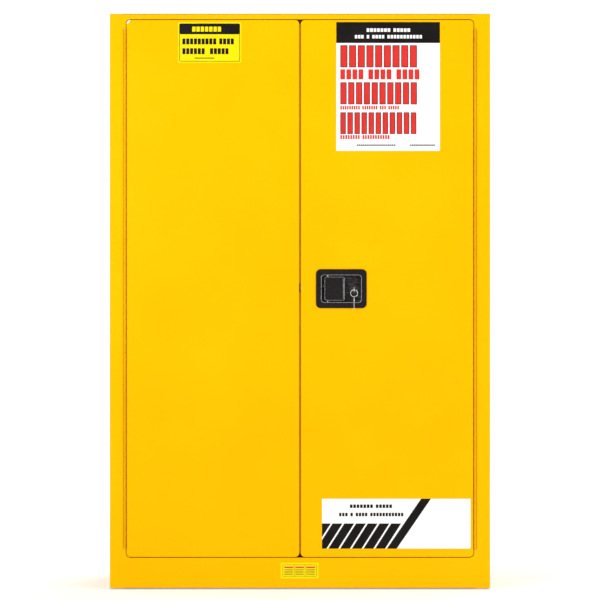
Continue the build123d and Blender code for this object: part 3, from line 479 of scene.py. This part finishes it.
def upper_right_label():
    """White plate: black band with pale blocks, then rows of red blocks, the tall ones outlined."""
    left, right, low, high = 0.104, 0.401, 1.257, 1.626
    corner, band_foot, line_width = 0.0015, 1.566, 0.0019
    outline = rounded_rect(left, right, low, high, corner)
    prints = [(rounded_rect(left, right, band_foot, high, corner), 1, 1)]
    prints += title_rows(((0.191, 1.598, (7, 5), 0.0078), (0.157, 1.579, (3, 1, 4, 11), 0.0070)),
                         0.0022, 2, 0)
    start, gap = left + 0.0115, 0.0042
    for foot, top, wide, count in ((1.4960, 1.5597, 0.0207, 9), (1.3900, 1.4536, 0.0182, 10),
                                   (1.3050, 1.3674, 0.0160, 11)):
        for block in blocks(start, foot, top, [wide] * count, gap, 0.0016):
            prints += [(block, 1, 1), (inset(block, line_width), 2, 2)]
    for foot, top, groups, wide, space in ((1.4616, 1.4907, (4, 4, 4), 0.0138, 0.0036),
                                           (1.3754, 1.3861, (9, 7, 3, 5), 0.0046, 0.0018),
                                           (1.2905, 1.3024, (8, 11), 0.0052, 0.0020)):
        prints += as_prints(blocks(start, foot, top, grouped(groups, wide), space, 0.0010), 1, 2)
    wide, space = 0.0040, 0.0016
    for from_x, to_x in ((0.163, 0.275), (0.315, 0.388)):
        count = round((to_x - from_x) / (wide + space))
        prints += as_prints(blocks(from_x, 1.2706, 1.2756, [wide] * count, space, 0.0006), 1, 1)
    label("upper_right_label", "right_door", outline, prints, [film_white, ink_black, ink_red])


def lower_right_label():
    """White plate: leaning black bars under two rows of plain blocks, and one bar of full height."""
    left, right, low, high = 0.063, 0.489, 0.117, 0.260
    outline = rounded_rect(left, right, low, high, 0.0015)
    pitch, bar, lean, top, long_rise = 0.0336, 0.0283, 0.046, 0.189, 0.686
    prints = []
    for k in range(-2, 5):                       # the first two start outside the plate
        foot = left + 0.0181 + pitch * k
        points = clipped(slanted(foot, foot + bar, low, top, lean), left)
        if len(points) > 2:
            prints.append((points, 1, 1))
    foot = left + 0.1859
    prints.append((slanted(foot, foot + bar, low, high, (high - low) * long_rise), 1, 1))
    prints += title_rows(((0.143, 0.2335, (7, 5), 0.0076), (0.112, 0.2097, (3, 1, 4, 11), 0.0067)),
                         0.0021, 1, 1)
    label("lower_right_label", "right_door", outline, prints, [film_white, ink_black])


def sill_label():
    """Lemon plate: three columns of plain lines under a red one, inside a thin border."""
    left, right, low, high = -0.056, 0.054, 0.031, 0.077
    outline = rounded_rect(left, right, low, high, 0.002)
    border, field, indent = 0.006, 0.0068, 0.003
    prints = [
        (framed(left, right, low, high, border, 0.004), 1, 1),
        (framed(left, right, low, high, field, 0.0034), 2, 0),
    ]
    side_gap, line_pitch, line_height = 0.008, 0.0046, 0.0022
    third = (right - left - 2 * side_gap) / 3
    for k in range(3):
        start = left + side_gap + third * k
        header = plain_rect(start + indent, start + third - indent, high - 0.0155, high - 0.0115)
        prints.append((header, 3, 2))
        for row in range(4):
            foot = high - 0.0215 - line_pitch * row
            line = plain_rect(start + indent, start + third - 0.004, foot, foot + line_height)
            prints.append((line, 3, 3))
        if k:
            rule = plain_rect(start - 0.0005, start + 0.0005, low + 0.007, high - 0.007)
            prints.append((rule, 3, 1))
    label("sill_label", "cabinet", outline, prints, [film_yellow, ink_grey, ink_red, ink_olive])


# ---------------------------------------------------------------- latch trim


def bead(name, body, outline, face_y, radius, material, sides=8):
    """A half-sunk round bead that follows a closed outline on a face; its joins are mitred."""
    bm = bmesh.new()
    count = len(outline)
    rings = []
    for k, (x, z) in enumerate(outline):
        ahead = Vector(outline[(k + 1) % count]) - Vector((x, z))
        behind = Vector((x, z)) - Vector(outline[k - 1])
        along = (ahead.normalized() + behind.normalized()).normalized()
        out = Vector((along.y, -along.x))
        ring = []
        for step in range(sides):
            angle = 2 * pi * step / sides
            reach = radius * cos(angle)
            point = (x + out.x * reach, face_y - radius * sin(angle), z + out.y * reach)
            ring.append(bm.verts.new(point))
        rings.append(ring)
    for k in range(count):
        here, after = rings[k], rings[(k + 1) % count]
        for step in range(sides):
            beside = (step + 1) % sides
            bm.faces.new((here[step], here[beside], after[beside], after[step])).smooth = True
    bmesh.ops.recalc_face_normals(bm, faces=bm.faces)
    piece = mesh_object(name, bm, [material])
    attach(piece, body)


def latch_trim():
    """The rolled rims round the tray's opening and round the paddle; their pale grey metal is a painted
    highlight where they catch the light.
    """
    low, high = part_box("latch_tray")
    mid_x, mid_z = (low[0] + high[0]) / 2, (low[2] + high[2]) / 2
    half_x, half_z, corner = 0.0575, 0.0395, 0.008
    opening = rounded_rect(mid_x - half_x, mid_x + half_x, mid_z - half_z, mid_z + half_z, corner)
    bead("tray_rim_bead", "right_door", opening, low[1] + 0.0004, 0.0011, rim_highlight_metal)
    low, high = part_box("latch_paddle")
    left, right, foot, top = low[0], high[0], low[2], high[2]
    rim, fold, roll_width, roll_end = 0.0012, 0.0030, 0.0032, 0.0070
    outline = rounded_rect(left + rim, right - fold, foot + rim, top - rim, 0.006)
    bead("paddle_rim_bead", "paddle", outline, low[1] + 0.0004, 0.0008, rim_highlight_metal)
    roll = rounded_rect(right - fold - roll_width, right - fold, foot + roll_end, top - roll_end, 0.0015)
    bead("paddle_pull_roll", "paddle", roll, low[1] + 0.0003, 0.0012, rim_highlight_metal)


def paint_corner_highlight():
    """A pale crescent on the left door's top corner, a painted highlight."""
    low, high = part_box("left_door_skin")
    radius, widest, tip, steps = 0.0118, 0.0056, 0.0004, 12
    centre_in = 0.0125
    mid_x, mid_z = low[0] + centre_in, high[2] - centre_in
    outer, inner = [], []
    for k in range(steps + 1):
        angle = pi / 2 + pi / 2 * k / steps
        near = radius - tip - widest * sin(pi * k / steps)
        outer.append((mid_x + radius * cos(angle), mid_z + radius * sin(angle)))
        inner.append((mid_x + near * cos(angle), mid_z + near * sin(angle)))
    piece = label("left_door_highlight_crescent", "left_door", outer + inner[::-1], [], [highlight_crescent_coat])


latch_trim()
paint_corner_highlight()
upper_left_label()
upper_right_label()
lower_right_label()
sill_label()

# ---------------------------------------------------------------- stage, light and camera

floor_radius = 40.0
dome_radius = 42.0           # a little more, so that the floor ends inside the dome


def stage_mesh(name, bm, material):
    """A stage object made of the bmesh."""
    made = mesh_object(name, bm, [material])
    return made


def studio_floor():
    """A pale floor: one large disc of matt paper, lit up further out so that it meets the white dome."""
    made, shader = blank("studio_paper")
    tree = made.node_tree
    tone = ramp(tree, noise(tree, 1.5, 2.0), (0.3, (0.88, 0.88, 0.88)), (0.7, (0.92, 0.92, 0.92)))
    join(tree, tone, shader, "Base Color")
    shader.inputs["Roughness"].default_value = 1.0
    shader.inputs["Specular IOR Level"].default_value = 0.0
    shader.inputs["Emission Color"].default_value = (1.0, 1.0, 1.0, 1.0)
    reach = tree.nodes.new("ShaderNodeVectorMath")
    reach.operation = "LENGTH"
    tree.links.new(place(tree), reach.inputs[0])
    near, far = 2.5, 6.0
    glow = spread(tree, reach.outputs["Value"], 0.31, 0.60, near, far)
    join(tree, glow, shader, "Emission Strength")
    bm = bmesh.new()
    bmesh.ops.create_circle(bm, cap_ends=True, segments=96, radius=floor_radius)
    stage_mesh("studio_floor", bm, made)


def studio_backdrop():
    """A white dome that only the camera sees, so that it adds no light of its own."""
    made, shader = blank("backdrop_white")
    shader.inputs["Base Color"].default_value = (0.0, 0.0, 0.0, 1.0)
    shader.inputs["Specular IOR Level"].default_value = 0.0
    shader.inputs["Emission Color"].default_value = (1.0, 1.0, 1.0, 1.0)
    shader.inputs["Emission Strength"].default_value = 1.05
    bm = bmesh.new()
    bmesh.ops.create_icosphere(bm, subdivisions=4, radius=dome_radius)
    dome = stage_mesh("studio_backdrop", bm, made)
    dome.visible_diffuse = False
    dome.visible_glossy = False
    dome.visible_transmission = False
    dome.visible_shadow = False


def area_light(name, where, at, width, height, watts):
    """A soft rectangular lamp that points at a place."""
    data = bpy.data.lights.new(name, "AREA")
    data.shape = "RECTANGLE"
    data.size = width
    data.size_y = height
    data.energy = watts
    light = bpy.data.objects.new(name, data)
    light.location = where
    light.rotation_euler = (Vector(at) - Vector(where)).to_track_quat("-Z", "Y").to_euler()
    scene.collection.objects.link(light)


def camera(distance=8.0, view_width=1.7196, height=0.8295, sensor=36.0):
    """Straight at the doors from that far; view_width is what it takes in at the doors' face."""
    data = bpy.data.cameras.new("camera")
    data.sensor_width = sensor
    data.lens = sensor * distance / view_width
    data.clip_end = 200.0
    made = bpy.data.objects.new("camera", data)
    made.location = (0.0, door_face - distance, height)
    made.rotation_euler = (radians(90), 0.0, 0.0)
    scene.collection.objects.link(made)
    scene.camera = made


world = bpy.data.worlds.new("studio")
world.use_nodes = True
sky = world.node_tree.nodes["Background"]
sky.inputs["Color"].default_value = (1.0, 1.0, 1.0, 1.0)
sky.inputs["Strength"].default_value = 0.50
scene.world = world
scene.view_settings.view_transform = "Standard"

studio_floor()
studio_backdrop()
area_light("key", (-2.6, -3.8, 3.0), (0.0, 0.0, 1.0), 2.2, 2.6, 101.0)
area_light("side", (3.4, -3.4, 2.2), (0.0, 0.0, 0.9), 1.6, 3.0, 62.0)
area_light("back", (1.5, 4.5, 3.2), (0.0, 0.0, 0.9), 3.0, 2.4, 130.0)
camera()
